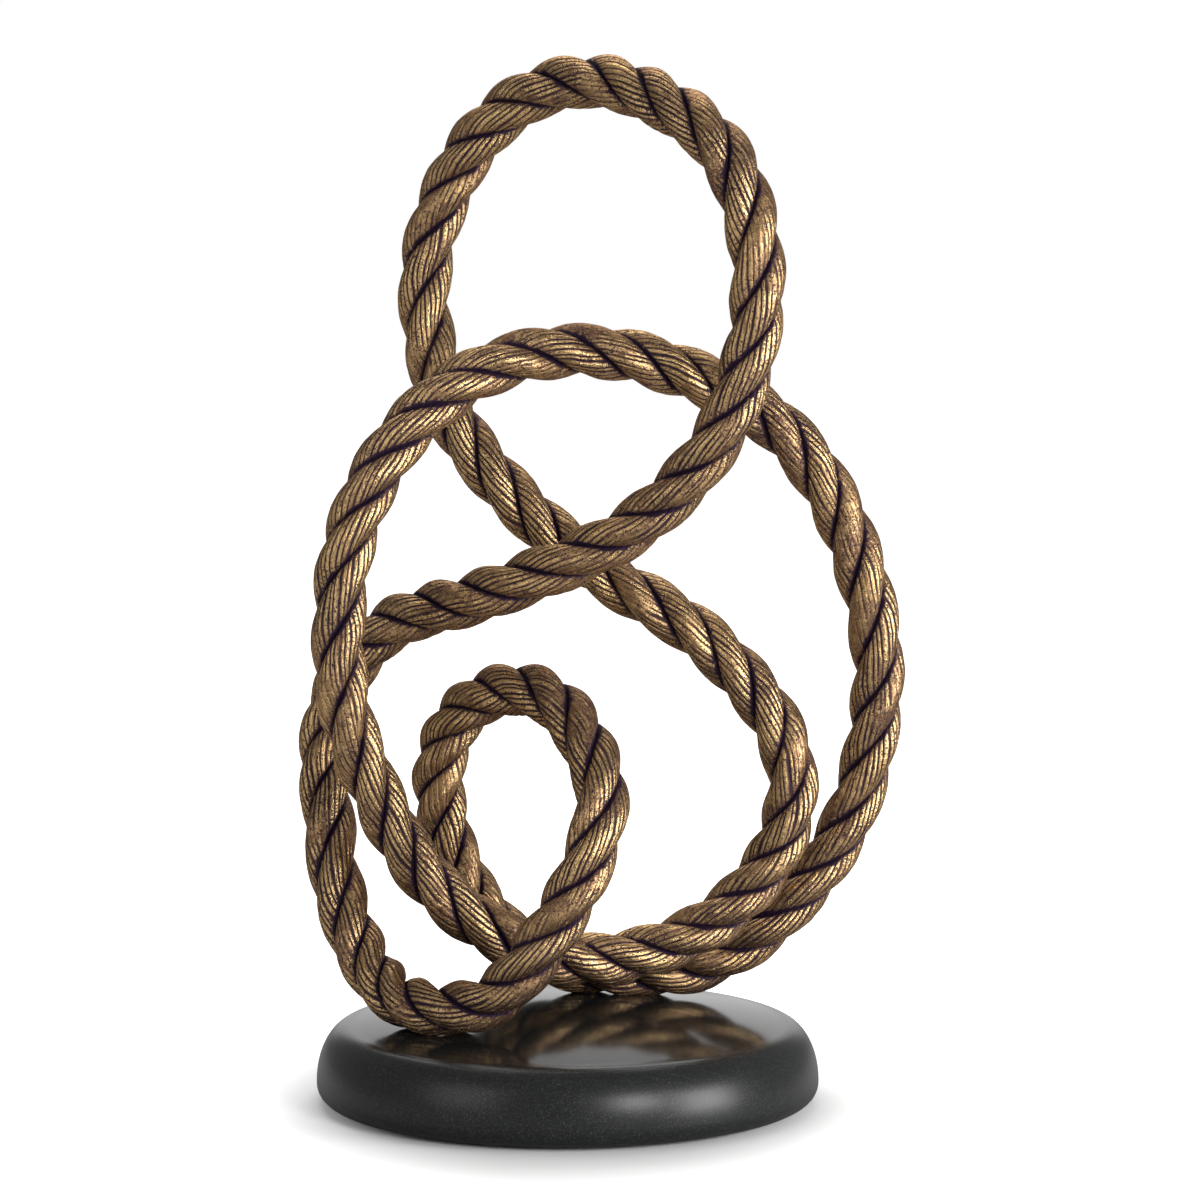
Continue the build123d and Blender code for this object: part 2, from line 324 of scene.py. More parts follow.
class Sketch:
    """Short hand for building a node tree."""

    def __init__(self, tree):
        self.tree = tree

    def node(self, kind, settings=None, **inputs):
        """A node with its settings, fed by name."""
        made = self.tree.nodes.new(kind)
        for name, value in (settings or {}).items():
            setattr(made, name, value)
        for name, value in inputs.items():
            self.feed(made.inputs[name.replace("_", " ")], value)
        return made

    def feed(self, socket, value):
        """Link an output, or set a plain value."""
        if isinstance(value, bpy.types.NodeSocket):
            self.tree.links.new(value, socket)
        else:
            socket.default_value = value

    def math(self, operation, *values, clamp=False):
        """One sum."""
        made = self.node("ShaderNodeMath", {"operation": operation, "use_clamp": clamp})
        for socket, value in zip(made.inputs, values):
            self.feed(socket, value)
        return made.outputs[0]

    def add(self, *values):
        """All the values together."""
        total = values[0]
        for value in values[1:]:
            total = self.math("ADD", total, value)
        return total

    def times(self, *values):
        """The product of the values."""
        total = values[0]
        for value in values[1:]:
            total = self.math("MULTIPLY", total, value)
        return total

    def most(self, *values):
        """The largest of the values."""
        largest = values[0]
        for value in values[1:]:
            largest = self.math("MAXIMUM", largest, value)
        return largest

    def rest(self, value):
        """What is left of 1."""
        return self.math("SUBTRACT", 1.0, value)

    def swing(self, value, size):
        """Noise about nought, of a given size."""
        return self.times(self.add(value, -0.5), size)

    def vector(self, operation, *values):
        """One sum of vectors."""
        made = self.node("ShaderNodeVectorMath", {"operation": operation})
        for socket, value in zip(made.inputs, values):
            self.feed(socket, value)
        return made.outputs["Value" if operation in ("LENGTH", "DOT_PRODUCT") else "Vector"]

    def scaled(self, vector, size):
        """A vector times a number."""
        made = self.node("ShaderNodeVectorMath", {"operation": "SCALE"}, Scale=size)
        self.feed(made.inputs[0], vector)
        return made.outputs[0]

    def combine(self, x, y, z):
        """A vector of three numbers."""
        return self.node("ShaderNodeCombineXYZ", X=x, Y=y, Z=z).outputs[0]

    def bell(self, distance, width):
        """1 at no distance, falling smoothly to 0 beyond the width."""
        share = self.math("DIVIDE", distance, width)
        return self.math("POWER", math.e, self.times(-1.0, share, share))

    def ramp(self, value, low, high):
        """0 below low, 1 above high, smooth between."""
        made = self.node(
            "ShaderNodeMapRange", {"interpolation_type": "SMOOTHSTEP", "clamp": True},
            Value=value, From_Min=low, From_Max=high,
        )
        return made.outputs[0]

    def noise(self, vector, scale, detail=2.0, rough=0.5, w=None):
        """Smooth noise about 0.5, shifted by a fourth coordinate if there is one."""
        made = self.node(
            "ShaderNodeTexNoise", {"noise_dimensions": "3D" if w is None else "4D"},
            Vector=vector, Scale=scale, Detail=detail, Roughness=rough,
        )
        if w is not None:
            self.feed(made.inputs["W"], w)
        return made.outputs[0]

    def mix(self, share, first, second, blend="MIX"):
        """Two colours mixed."""
        made = self.node("ShaderNodeMix", {"data_type": "RGBA", "blend_type": blend})
        colours = [socket for socket in made.inputs if socket.type == "RGBA"]
        self.feed(made.inputs[0], share)
        for socket, value in zip(colours, (first, second)):
            self.feed(socket, value if isinstance(value, bpy.types.NodeSocket) else (*value, 1))
        return [socket for socket in made.outputs if socket.type == "RGBA"][0]

    def between(self, share, first, second):
        """Two numbers mixed."""
        made = self.node("ShaderNodeMix", {"data_type": "FLOAT"})
        numbers = [socket for socket in made.inputs if socket.type == "VALUE"]
        for socket, value in zip(numbers, (share, first, second)):
            self.feed(socket, value)
        return [socket for socket in made.outputs if socket.type == "VALUE"][0]


ROPE_INPUTS = (
    ("Rope Diameter", "diameter"),
    ("Strand Radius Share", "strand_radius_share"),
    ("Slit Depth", "slit_depth"),
    ("Slit Width", "slit_width"),
    ("Yarn Width", "yarn_width"),
    ("Yarn Depth", "yarn_depth"),
    ("Yarns Per Strand", "yarns_per_strand"),
    ("Lump Height", "lump_height"),
)
ROPE_SEED = 7
# Steps in the noise's fourth coordinate, and in yarns, that keep each pattern its own
SEED_STEP = 1.7
STRAND_STEP = 7.3
YARN_STEP = 3.1
# How much closer the mesh is spaced towards the crevices
CROWDING = 0.2
# How far a weld fills a crevice, and what it leaves of the yarns
WELD_FILL = 0.7
WELD_YARNS = 0.15
# Noise in the rope, in waves per metre, and of the yarns' spacing, in waves per yarn
WANDER_WAVES = 30.0
WOBBLE_WAVES = 150.0
YARN_TONE_WAVES = 85.0
PATCH_WAVES = 18.0
LUMP_WAVES = 70.0
UNEVEN_WAVES = 0.7
# How far that noise moves a yarn, in yarns
WANDER_YARNS = 1.8
WOBBLE_YARNS = 0.35
UNEVEN_YARNS = 1.5
# Power of a yarn's round: below 1 the groove is narrower than the crest
CREST_POWER = 0.7
# How deep the faintest groove is beside the boldest, how far the patches make it bold, and
# the noise over which it turns so
FAINT_GROOVE = 0.25
PATCH_PULL = 1.2
BOLD_RANGE = (0.36, 0.54)


def laid_rope_tree():
    """Geometry nodes that lay three strands of yarns along a centre line."""
    tree = bpy.data.node_groups.new("Laid rope", "GeometryNodeTree")
    tree.is_modifier = True
    sockets = [("Centre Line", "Geometry")]
    sockets += [(name, "Float") for name, _ in ROPE_INPUTS]
    sockets += [("Dome Radius", "Float"), ("Dome Top", "Float")]
    sockets += [("Sides", "Int"), ("Seed", "Int"), ("Metal", "Material")]
    for name, kind in sockets:
        tree.interface.new_socket(name=name, in_out="INPUT", socket_type="NodeSocket" + kind)
    tree.interface.new_socket(name="Rope", in_out="OUTPUT", socket_type="NodeSocketGeometry")
    s = Sketch(tree)
    given = s.node("NodeGroupInput").outputs

    def named(name, kind="FLOAT"):
        return s.node("GeometryNodeInputNamedAttribute", {"data_type": kind}, Name=name).outputs[0]

    index = s.node("GeometryNodeInputIndex").outputs[0]
    radius = s.times(given["Rope Diameter"], 0.5)
    circle = s.node("GeometryNodeCurvePrimitiveCircle", Resolution=given["Sides"], Radius=radius)
    ring = s.node(
        "GeometryNodeStoreNamedAttribute", {"data_type": "FLOAT", "domain": "POINT"},
        Geometry=circle.outputs["Curve"], Name="turn",
        Value=s.math("DIVIDE", index, given["Sides"]),
    ).outputs[0]
    line = s.node("GeometryNodeMeshToCurve", Mesh=given["Centre Line"]).outputs[0]
    tube = s.node(
        "GeometryNodeCurveToMesh", Curve=line, Profile_Curve=ring, Fill_Caps=True
    ).outputs[0]

    centre = named("centre", "FLOAT_VECTOR")
    away = named("away", "FLOAT_VECTOR")
    side = named("side", "FLOAT_VECTOR")
    laid = named("laid")
    weld = named("weld")
    unwelded = s.rest(weld)
    seed = s.times(given["Seed"], SEED_STEP)

    # Place on the strand, from -0.5 to 0.5, closer spaced towards the crevices
    place = s.times(named("turn"), float(STRANDS))
    number = s.math("FLOOR", place)
    even = s.add(s.math("FRACT", place), -0.5)
    crowded = s.math("SINE", s.times(even, math.pi))
    share = s.add(s.times(even, 1 - 2 * CROWDING), s.times(crowded, CROWDING))
    pitch = 2 * math.pi / STRANDS
    angle = s.times(s.add(laid, number, share), pitch)
    from_crown = s.times(share, pitch)

    # Round strands, side by side
    strand = s.times(given["Rope Diameter"], given["Strand Radius Share"])
    offset = s.math("SUBTRACT", radius, strand)
    aside = s.times(offset, s.math("SINE", from_crown))
    reach = s.math("SQRT", s.math("SUBTRACT", s.times(strand, strand), s.times(aside, aside)))
    surface = s.add(s.times(offset, s.math("COSINE", from_crown)), reach)
    outward = s.vector(
        "ADD",
        s.scaled(away, s.math("COSINE", angle)),
        s.scaled(side, s.math("SINE", angle)),
    )
    skin = s.vector("ADD", centre, s.scaled(outward, surface))

    # Distance from the crevice, round the rope
    gap = s.times(s.math("SUBTRACT", 0.5, s.math("ABSOLUTE", share)), pitch, surface)
    in_gap = s.bell(gap, given["Slit Width"])
    filled = s.rest(s.times(weld, WELD_FILL))
    slit = s.times(given["Slit Depth"], in_gap, filled)

    # Yarns wind round each strand against the lay, so they run nearly along the rope
    round_strand = s.math(
        "ARCTAN2",
        s.times(surface, s.math("SINE", from_crown)),
        s.math("SUBTRACT", s.times(surface, s.math("COSINE", from_crown)), offset),
    )
    wander = s.noise(skin, WANDER_WAVES, detail=1.0, w=seed)
    wobble = s.noise(skin, WOBBLE_WAVES, detail=1.0, w=seed)
    yarn = s.add(
        s.math("DIVIDE", s.times(strand, round_strand), given["Yarn Width"]),
        s.times(laid, given["Yarns Per Strand"]),
        s.times(number, STRAND_STEP),
        s.times(wander, WANDER_YARNS),
        s.times(wobble, WOBBLE_YARNS),
    )
    # Uneven spacing, the same all along a yarn
    uneven = s.noise(s.combine(s.times(yarn, UNEVEN_WAVES), number, seed), 1.0, detail=1.0)
    yarn = s.add(yarn, s.times(uneven, UNEVEN_YARNS))
    one_yarn = s.times(s.add(s.math("FLOOR", yarn), seed), YARN_STEP)
    each = s.noise(skin, YARN_TONE_WAVES, detail=1.0, w=one_yarn)
    patch = s.noise(skin, PATCH_WAVES, detail=3.0, w=s.add(seed, number))
    across_yarn = s.math("ABSOLUTE", s.math("SINE", s.times(yarn, math.pi)))
    crest = s.math("POWER", across_yarn, CREST_POWER)
    boldness = s.ramp(s.add(each, s.swing(patch, PATCH_PULL)), *BOLD_RANGE)
    bold = s.add(FAINT_GROOVE, s.times(boldness, 1 - FAINT_GROOVE))
    plain = s.add(WELD_YARNS, s.times(1 - WELD_YARNS, unwelded))
    height = s.times(s.add(crest, -1.0), bold, plain, given["Yarn Depth"])
    height = s.times(height, s.rest(in_gap))
    swelling = s.noise(skin, LUMP_WAVES, detail=2.0, w=seed)
    lumps = s.times(s.swing(swelling, 2.0), given["Lump Height"])
    grown = s.math("SUBTRACT", s.add(surface, height, lumps), slit)
    laid_skin = s.vector("ADD", centre, s.scaled(outward, grown))

    # Ground to the domed top where the rope stands on the stone
    parts = s.node("ShaderNodeSeparateXYZ", Vector=laid_skin).outputs
    dome = given["Dome Radius"]
    out_squared = s.add(s.times(parts[0], parts[0]), s.times(parts[1], parts[1]))
    rise = s.math("SQRT", s.math("SUBTRACT", s.times(dome, dome), out_squared))
    stone = s.add(s.math("SUBTRACT", rise, dome), given["Dome Top"])
    seated = s.combine(parts[0], parts[1], s.math("MAXIMUM", parts[2], stone))
    mesh = s.node("GeometryNodeSetPosition", Geometry=tube, Position=seated).outputs[0]

    for name, value in zip(METAL_MASKS, (gap, yarn, bold, laid)):
        mesh = s.node(
            "GeometryNodeStoreNamedAttribute", {"data_type": "FLOAT", "domain": "POINT"},
            Geometry=mesh, Name=name, Value=value,
        ).outputs[0]
    mesh = s.node("GeometryNodeSetShadeSmooth", Geometry=mesh).outputs[0]

    # The casting's two end faces, the only ones with more than four corners, stay flat
    corners = s.node("GeometryNodeCornersOfFace").outputs["Total"]
    cap = s.node("FunctionNodeCompare", {"data_type": "INT", "operation": "GREATER_THAN"})
    compared = [socket for socket in cap.inputs if socket.type == "INT"]
    s.feed(compared[0], corners)
    s.feed(compared[1], 4)
    mesh = s.node(
        "GeometryNodeSetShadeSmooth", Geometry=mesh, Selection=cap.outputs[0], Shade_Smooth=False
    ).outputs[0]
    mesh = s.node("GeometryNodeRealizeInstances", Geometry=mesh).outputs[0]
    mesh = s.node("GeometryNodeSetMaterial", Geometry=mesh, Material=given["Metal"]).outputs[0]
    s.feed(s.node("NodeGroupOutput").inputs[0], mesh)
    return tree


def centre_line(name, route, start, end, settings):
    """Mesh of edges along one casting, carrying what the geometry nodes read."""
    count = max(2, round((end - start) / settings.ring_step))
    distances = np.linspace(start, end, count + 1)
    centres, directions, laid = along_route(route, distances)
    away = np.array([0.0, 1.0, 0.0]) - directions[:, 1:2] * directions
    away /= np.linalg.norm(away, axis=1)[:, None]
    side = np.cross(directions, away)
    from_joint = np.minimum(distances - start, end - distances)
    weld = np.exp(-(from_joint / settings.weld_width) ** 2)
    mesh = bpy.data.meshes.new(name)
    mesh.from_pydata(centres.tolist(), [(i, i + 1) for i in range(count)], [])
    for label, values in (("centre", centres), ("away", away), ("side", side)):
        attribute = mesh.attributes.new(label, "FLOAT_VECTOR", "POINT")
        attribute.data.foreach_set("vector", values.astype(np.float32).ravel())
    for label, values in (("laid", laid), ("weld", weld)):
        attribute = mesh.attributes.new(label, "FLOAT", "POINT")
        attribute.data.foreach_set("value", values.astype(np.float32))
    return mesh


def shown(name, mesh):
    """A new object at the origin."""
    piece = bpy.data.objects.new(name, mesh)
    bpy.context.scene.collection.objects.link(piece)
    return piece


def plain_mesh(piece):
    """Turn a piece's modifiers into its mesh, facing outwards."""
    graph = bpy.context.evaluated_depsgraph_get()
    mesh = bpy.data.meshes.new_from_object(piece.evaluated_get(graph))
    piece.modifiers.clear()
    piece.data = mesh
    mesh.calc_loop_triangles()
    corners = np.empty(len(mesh.loop_triangles) * 3, np.int32)
    mesh.loop_triangles.foreach_get("vertices", corners)
    places = np.empty(len(mesh.vertices) * 3, np.float32)
    mesh.vertices.foreach_get("co", places)
    a, b, c = places.reshape(-1, 3)[corners].reshape(-1, 3, 3).transpose(1, 0, 2)
    if np.einsum("ij,ij->i", a, np.cross(b, c)).sum() < 0:
        mesh.flip_normals()


MESH_OWN = ("material_index", "sharp_face", "sharp_edge")


def keep_only(mesh, names):
    """Drop the attributes that only the geometry nodes needed."""
    spare = [a.name for a in mesh.attributes if not a.is_internal and not a.is_required]
    for name in spare:
        if name not in names and name not in MESH_OWN:
            mesh.attributes.remove(mesh.attributes[name])


def object_place(s):
    """Object coordinates."""
    return s.node("ShaderNodeTexCoord").outputs["Object"]


def from_axis(s, place, stretch=1.0):
    """Distance of a place from the disc's axis, with X stretched."""
    parts = s.node("ShaderNodeSeparateXYZ", Vector=place).outputs
    return s.vector("LENGTH", s.combine(s.times(parts[0], stretch), parts[1], 0.0))


def group_tree(name, inputs, outputs):
    """An empty shader group with named sockets."""
    tree = bpy.data.node_groups.new(name, "ShaderNodeTree")
    for label, kind, default in inputs:
        socket = tree.interface.new_socket(name=label, in_out="INPUT", socket_type=kind)
        socket.default_value = default
    for label, kind in outputs:
        tree.interface.new_socket(name=label, in_out="OUTPUT", socket_type=kind)
    return tree


def speckle_group():
    """Small scattered spots, with soft edges."""
    tree = bpy.data.node_groups.get("Speckle")
    if tree:
        return tree
    number = "NodeSocketFloat"
    tree = group_tree(
        "Speckle",
        (("Scale", number, 900.0), ("Threshold", number, 0.6), ("Softness", number, 0.06)),
        (("Spots", number),),
    )
    s = Sketch(tree)
    given = s.node("NodeGroupInput").outputs
    place = object_place(s)
    fine = s.noise(place, given["Scale"], detail=2.0, rough=0.6)
    low = s.math("SUBTRACT", given["Threshold"], given["Softness"])
    high = s.add(given["Threshold"], given["Softness"])
    s.feed(s.node("NodeGroupOutput").inputs[0], s.ramp(fine, low, high))
    return tree


def drift_group():
    """Slow change of tone over a surface."""
    tree = bpy.data.node_groups.get("Drift")
    if tree:
        return tree
    number = "NodeSocketFloat"
    tree = group_tree(
        "Drift", (("Scale", number, 40.0), ("Contrast", number, 1.0)), (("Tone", number),)
    )
    s = Sketch(tree)
    given = s.node("NodeGroupInput").outputs
    slow = s.noise(object_place(s), given["Scale"], detail=4.0, rough=0.6)
    tone = s.add(s.times(s.add(slow, -0.5), given["Contrast"], 2.2), 0.5)
    s.feed(s.node("NodeGroupOutput").inputs[0], s.math("ADD", tone, 0.0, clamp=True))
    return tree


def placed(s, tree, **inputs):
    """A shader group placed in a material with its own values."""
    return s.node("ShaderNodeGroup", {"node_tree": tree}, **inputs).outputs[0]


def new_material(name):
    """A material with only its Principled shader, and a sketch to build with."""
    material = bpy.data.materials.new(name)
    material.use_nodes = True
    shader = material.node_tree.nodes["Principled BSDF"]
    return material, Sketch(material.node_tree), shader


# Brass: noise, in waves per metre, and streaks in waves per yarn and per strand
DRIFT_WAVES = 28.0
MOTTLE_WAVES = 160.0
PIT_WAVES = 1100.0
FINE_WAVES = 1300.0
GRAIN_WAVES = 1100.0
STREAKS_ACROSS = 2.6
STREAKS_ALONG = 9.0
# Brass: widths beside a crevice in metres, and what makes its edge ragged
# The first width is the band of patina and painted shade beside a crevice
PATINA_AND_SHADE_WIDTH = 0.0026
CLEAR_WIDTH = 0.0010
CREVICE_RANGE = (0.0005, 0.0017)
RAGGED_BY_MOTTLE = 0.0014
RAGGED_BY_FINE = 0.0018
RAGGED_BY_DRIFT = -0.0008
# Brass: what the patina and painted shade beside a crevice, fine noise and slow drift add to the
# grooves' strength and to the pits
FINE_ON_LINE = 0.9
PATINA_AND_SHADE_ON_LINE = 0.3
PATINA_AND_SHADE_ON_PITS = 0.35
DRIFT_ON_PITS = 0.4
# Brass: where each mask begins and is full
LINE_RANGE = (0.22, 0.62)
STRENGTH_RANGE = (0.10, 0.60)
PITTED_RANGE = (0.55, 0.85)
MOTTLE_RANGE = (0.40, 0.90)
RUBBED_AND_HIGHLIT_CREST_RANGE = (0.55, 0.95)
RUBBED_AND_HIGHLIT_BOLD_RANGE = (0.20, 0.90)
STREAK_RANGE = (0.48, 0.68)
RUST_RANGE = (0.50, 1.00)
RUST_GRAIN_RANGE = (0.40, 0.60)
GLINT_RANGE = (0.52, 0.66)
SPECK_RANGE = (0.55, 0.67)
# Brass: how far each tone covers the metal under it
MOTTLE_COVER = 0.5
RUBBED_AND_HIGHLIT_COVER = 0.75
STREAK_COVER = 0.6
RUST_COVER = 0.35
GLINT_COVER = 0.5
SPECK_COVER = 0.7
PATINA_AND_SHADE_COVER = 0.7
PIT_COVER = 0.8
LINE_COVER = 0.95
# Brass: how high each mask stands in the bump
LINE_RELIEF = -1.2
PIT_RELIEF = -0.8
FINE_RELIEF = 0.6
STREAK_RELIEF = 0.6
# Brass: how dirty the specks are, roughness, and how metallic the dirt still looks
SPECK_DIRT = 0.6
RUBBED_ROUGHNESS = 0.26
METAL_ROUGHNESS = (0.29, 0.40)
DIRT_ROUGHNESS = 0.75
DIRT_METALLIC = 0.35


def antique_brass(settings):
    """Cast brass, darkened in every groove, with patina and painted shade in and beside the
    crevices, worn bright on the crests under a painted highlight, and with painted glints.
    """
    material, s, shader = new_material("Antique brass")
    gap, yarn, bold, along = (
        s.node("ShaderNodeAttribute", {"attribute_name": name}).outputs["Fac"]
        for name in METAL_MASKS
    )
    place = object_place(s)
    drift = placed(s, drift_group(), Scale=DRIFT_WAVES, Contrast=1.3)
    mottle = placed(s, drift_group(), Scale=MOTTLE_WAVES, Contrast=1.4)
    pits = placed(s, speckle_group(), Scale=PIT_WAVES, Threshold=0.56, Softness=0.10)
    fine = s.noise(place, FINE_WAVES, detail=3.0, rough=0.65)
    grain = s.noise(place, GRAIN_WAVES, detail=2.0, rough=0.7)
    drawn_out = s.combine(s.times(yarn, STREAKS_ACROSS), s.times(along, STREAKS_ALONG), 0.0)
    streak = s.noise(drawn_out, 1.0, detail=3.0, rough=0.6)

    # Masks: the yarns' grooves and crests, the crevices between strands, pits and specks
    crest = s.math("ABSOLUTE", s.math("SINE", s.times(yarn, math.pi)))
    # Patina with painted shade: the dull colour laid in a band beside each crevice, darkening
    # where shade falls between the strands
    patina_and_shade = s.bell(gap, PATINA_AND_SHADE_WIDTH)
    clear = s.rest(s.bell(gap, CLEAR_WIDTH))
    strength = s.ramp(
        s.add(bold, s.swing(fine, FINE_ON_LINE), s.times(patina_and_shade, PATINA_AND_SHADE_ON_LINE)), *STRENGTH_RANGE
    )
    line = s.times(s.rest(s.ramp(crest, *LINE_RANGE)), strength, clear)
    ragged = s.add(
        gap,
        s.swing(mottle, RAGGED_BY_MOTTLE),
        s.swing(fine, RAGGED_BY_FINE),
        s.times(drift, RAGGED_BY_DRIFT),
    )
    # The crevice takes the groove colour: its patina, with painted shade added over the slit's own
    # shade
    crevice = s.rest(s.ramp(ragged, *CREVICE_RANGE))
    pitted = s.ramp(
        s.add(pits, s.times(patina_and_shade, PATINA_AND_SHADE_ON_PITS), s.swing(drift, DRIFT_ON_PITS)), *PITTED_RANGE
    )
    # Wear and a painted highlight together on the yarns' crests; the same mask also sets their
    # roughness
    rubbed_and_highlit = s.times(s.ramp(crest, *RUBBED_AND_HIGHLIT_CREST_RANGE), s.ramp(bold, *RUBBED_AND_HIGHLIT_BOLD_RANGE))
    rusty = s.times(s.ramp(mottle, *RUST_RANGE), s.ramp(grain, *RUST_GRAIN_RANGE))
    specks = s.ramp(grain, *SPECK_RANGE)

    # Tones, each over the ones before it
    tones = (
        (s.times(s.ramp(mottle, *MOTTLE_RANGE), MOTTLE_COVER), settings.bright),
        (s.times(rubbed_and_highlit, RUBBED_AND_HIGHLIT_COVER), settings.bright),
        (s.times(s.ramp(streak, *STREAK_RANGE), STREAK_COVER), settings.dull),
        (s.times(rusty, RUST_COVER), settings.rust),
        # Painted glints: small bright spots of the high-spot colour
        (s.times(s.ramp(fine, *GLINT_RANGE), GLINT_COVER), settings.bright),
        (s.times(specks, SPECK_COVER), settings.groove),
        # The band of patina and painted shade beside each crevice
        (s.times(patina_and_shade, PATINA_AND_SHADE_COVER), settings.dull),
        (s.times(pitted, PIT_COVER), settings.groove),
        (s.times(line, LINE_COVER), s.mix(bold, settings.dull, settings.groove)),
        (crevice, settings.groove),
    )
    metal = s.mix(drift, settings.middle, settings.dull)
    for cover, colour in tones:
        metal = s.mix(cover, metal, colour)
    dirt = s.most(
        crevice,
        s.times(line, LINE_COVER),
        s.times(pitted, PIT_COVER),
        s.times(specks, SPECK_DIRT),
    )
    shine = s.between(rubbed_and_highlit, s.between(drift, *METAL_ROUGHNESS), RUBBED_ROUGHNESS)

    relief = s.add(
        s.times(line, LINE_RELIEF),
        s.times(pitted, PIT_RELIEF),
        s.times(fine, FINE_RELIEF),
        s.times(streak, STREAK_RELIEF),
    )
    bump = s.node("ShaderNodeBump", Strength=0.9, Distance=0.0005, Height=relief)
    s.feed(shader.inputs["Base Color"], metal)
    s.feed(shader.inputs["Metallic"], s.between(dirt, 1.0, DIRT_METALLIC))
    s.feed(shader.inputs["Roughness"], s.between(dirt, shine, DIRT_ROUGHNESS))
    s.feed(shader.inputs["Normal"], bump.outputs[0])
    shader.inputs["Specular Tint"].default_value = (*settings.rim, 1)
    shader.inputs["Coat Weight"].default_value = 0.12
    shader.inputs["Coat Roughness"].default_value = 0.5
    return material


# Granite: flecks and grain in waves per metre
FLECK_WAVES = 1500.0
GRANITE_GRAIN_WAVES = 1800.0
# Granite: metres outside the top's rim where the polish begins to fade and where it is gone
POLISH_FADES = -0.004
POLISH_GONE = 0.010
# Granite: how strongly flecks show on the polished top and on the honed side
POLISHED_FLECKS = 0.2
HONED_FLECKS = 0.9
# Granite: roughness, from lowest to highest, of the polished top and the honed side
POLISHED_ROUGHNESS = (0.10, 0.17)
HONED_ROUGHNESS = (0.27, 0.36)


def black_granite(settings):
    """Black granite: a mirror-polished top and a honed, finely flecked side."""
    material, s, shader = new_material("Black granite")
    place = object_place(s)
    rim_radius = settings.diameter / 2 - settings.top_edge_width
    honed = s.ramp(from_axis(s, place), rim_radius + POLISH_FADES, rim_radius + POLISH_GONE)
    flecks = placed(s, speckle_group(), Scale=FLECK_WAVES, Threshold=0.60, Softness=0.10)
    drift = placed(s, drift_group(), Scale=60.0, Contrast=1.0)
    grain = s.noise(place, GRANITE_GRAIN_WAVES, detail=2.0)
    pale = s.times(
        flecks, s.between(honed, POLISHED_FLECKS, HONED_FLECKS), s.between(drift, 0.4, 1.0)
    )
    polished = s.between(grain, *POLISHED_ROUGHNESS)
    rough = s.between(grain, *HONED_ROUGHNESS)
    s.feed(shader.inputs["Base Color"], s.mix(pale, settings.black, settings.fleck))
    s.feed(shader.inputs["Roughness"], s.between(honed, polished, rough))
    shader.inputs["Specular IOR Level"].default_value = 0.30
    relief = s.node("ShaderNodeBump", Strength=0.15, Distance=0.0002, Height=s.times(honed, grain))
    s.feed(shader.inputs["Normal"], relief.outputs[0])
    return material


FELT_TONES = ((0.008, 0.008, 0.009), (0.045, 0.045, 0.048))
FELT_WORN = (0.03, 0.03, 0.032)
FIBRE_WAVES = 2200.0


def wool_felt():
    """Black pressed wool."""
    material, s, shader = new_material("Wool felt")
    fibres = s.noise(object_place(s), FIBRE_WAVES, detail=5.0, rough=0.7)
    drift = placed(s, drift_group(), Scale=90.0, Contrast=1.0)
    colour = s.mix(s.times(drift, 0.4), s.mix(fibres, *FELT_TONES), FELT_WORN)
    s.feed(shader.inputs["Base Color"], colour)
    bump = s.node("ShaderNodeBump", Strength=0.8, Distance=0.0004, Height=fibres)
    s.feed(shader.inputs["Normal"], bump.outputs[0])
    shader.inputs["Roughness"].default_value = 0.95
    shader.inputs["Sheen Weight"].default_value = 0.3
    return material


ZINC_TONES = ((0.50, 0.51, 0.53), (0.66, 0.65, 0.62))
TURNING_WAVES = 3000.0
TURNING_STRETCH = 0.2


def plated_steel():
    """Zinc-plated steel with fine turning marks."""
    material, s, shader = new_material("Plated steel")
    parts = s.node("ShaderNodeSeparateXYZ", Vector=object_place(s)).outputs
    stretched = s.combine(
        s.times(parts[0], TURNING_STRETCH), s.times(parts[1], TURNING_STRETCH), parts[2]
    )
    rings = s.noise(stretched, TURNING_WAVES)
    drift = placed(s, drift_group(), Scale=150.0, Contrast=1.0)
    s.feed(shader.inputs["Base Color"], s.mix(drift, *ZINC_TONES))
    s.feed(shader.inputs["Roughness"], s.between(rings, 0.22, 0.42))
    bump = s.node("ShaderNodeBump", Strength=0.3, Distance=0.0001, Height=rings)
    s.feed(shader.inputs["Normal"], bump.outputs[0])
    shader.inputs["Metallic"].default_value = 1.0
    return material


def dress(node, material):
    """Give a CAD node its material."""
    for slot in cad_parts[node].material_slots:
        slot.material = material


class KNOT_OT_rope_castings(bpy.types.Operator):
    """Lay the rope's strands and yarns over each casting"""

    bl_idname = "knot.rope_castings"
    bl_label = "Rope castings"

    def execute(self, context):
        settings = context.scene.knot_rope
        metal = antique_brass(settings)
        tree = laid_rope_tree()
        keys = {item.name: item.identifier for item in tree.interface.items_tree}
        stone = context.scene.knot_stone
        route = smooth_route(settings, stone)
        first = 0
        for name, rows in ROUTE_SHARES:
            last = first + len(rows)
            line = centre_line(name, route, route[0][first], route[0][last], settings)
            piece = shown("rope_" + name, line)
            modifier = piece.modifiers.new("Laid rope", "NODES")
            modifier.node_group = tree
            for label, key in ROPE_INPUTS:
                modifier[keys[label]] = getattr(settings, key)
            modifier[keys["Dome Radius"]] = dome_radius(stone)
            modifier[keys["Dome Top"]] = stone.rim + stone.crown_height
            modifier[keys["Sides"]] = settings.sides
            modifier[keys["Seed"]] = ROPE_SEED
            modifier[keys["Metal"]] = metal
            plain_mesh(piece)
            keep_only(piece.data, METAL_MASKS)
            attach(piece, "root")
            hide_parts(name)
            first = last
        return {"FINISHED"}


# Steps along the half section's top, upper edge and lower edge
TOP_STEPS = 24
UPPER_EDGE_STEPS = 25
LOWER_EDGE_STEPS = 13


